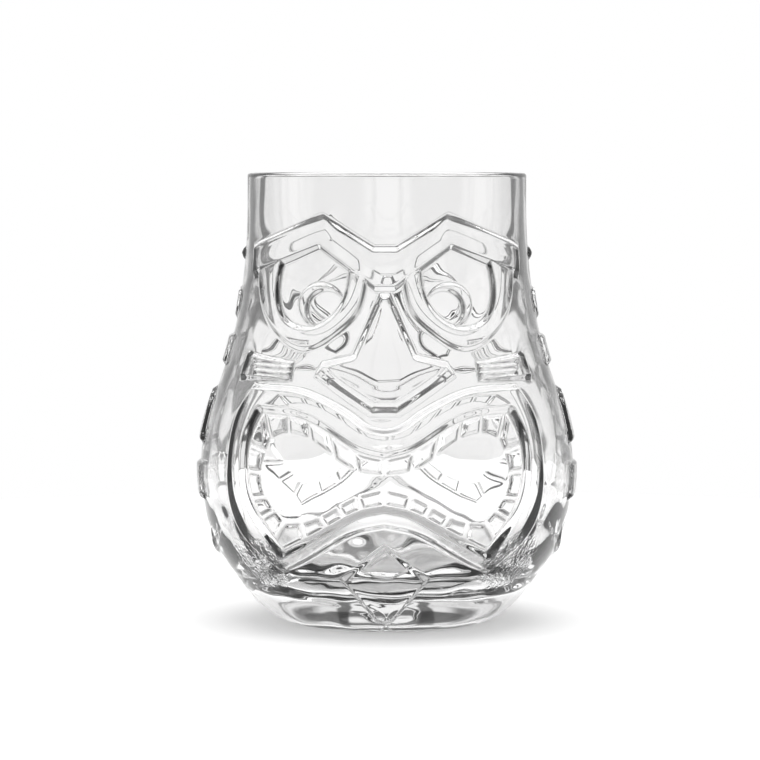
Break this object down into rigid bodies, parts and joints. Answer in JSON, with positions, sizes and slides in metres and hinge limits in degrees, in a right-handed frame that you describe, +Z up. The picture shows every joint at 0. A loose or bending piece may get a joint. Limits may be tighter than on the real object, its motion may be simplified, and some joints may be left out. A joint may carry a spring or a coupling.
{
  "type": "tiki glass tumbler",
  "caption": "Handle-less clear glass tumbler with a straight neck, a pear-shaped belly, a heavy base and a moulded tiki mask on its front and back.",
  "frame": {"origin": "centre of the ring the glass rests on, at table height", "axes": "+Z up to the rim, the front mask looks along -Y, +X to the right when facing the front mask"},
  "size_m": [0.0942, 0.0942, 0.1105],
  "materials": {
    "clear_glass": "clear, colourless, polished"
  },
  "bodies": {
    "root": {"glass_tumbler": "clear_glass"}
  },
  "joints": []
}
